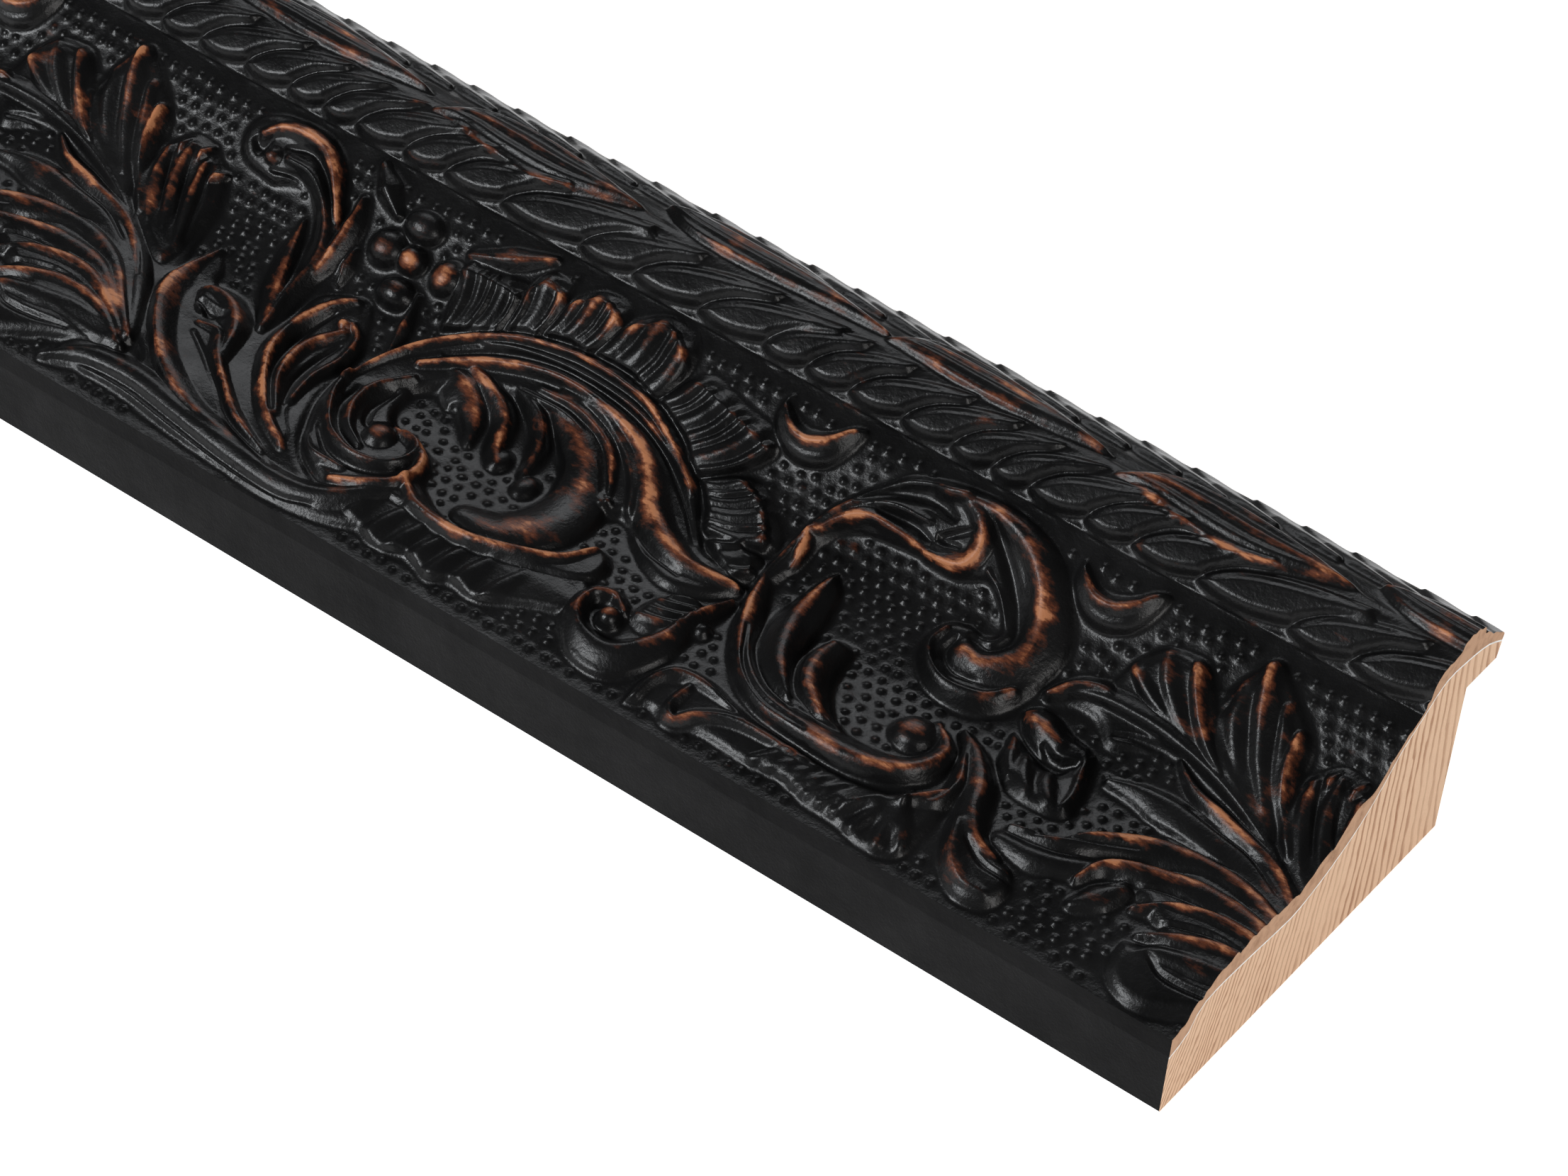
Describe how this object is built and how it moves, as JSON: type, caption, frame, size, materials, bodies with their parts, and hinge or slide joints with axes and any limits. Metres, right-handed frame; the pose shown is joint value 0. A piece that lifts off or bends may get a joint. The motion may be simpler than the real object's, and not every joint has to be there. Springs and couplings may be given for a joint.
{
  "type": "picture frame moulding",
  "caption": "Straight length of ornate picture frame moulding: pine with a rabbet under a pressed rococo scroll face, black with copper rubbed edges, cut square.",
  "frame": {"origin": "middle of the moulding's footprint, on the plane of its flat back", "axes": "+X along the moulding towards the cut end that the picture shows, +Y across it towards the sight edge and rabbet, +Z out of the flat back"},
  "size_m": [0.25, 0.0762, 0.0367],
  "materials": {
    "pine": "raw pine, sawn ends, outer side painted black",
    "black_copper": "satin black over composition, copper rubbed through on the high edges"
  },
  "bodies": {
    "root": {"pine_core": "pine", "compo_face": "black_copper"}
  },
  "joints": []
}
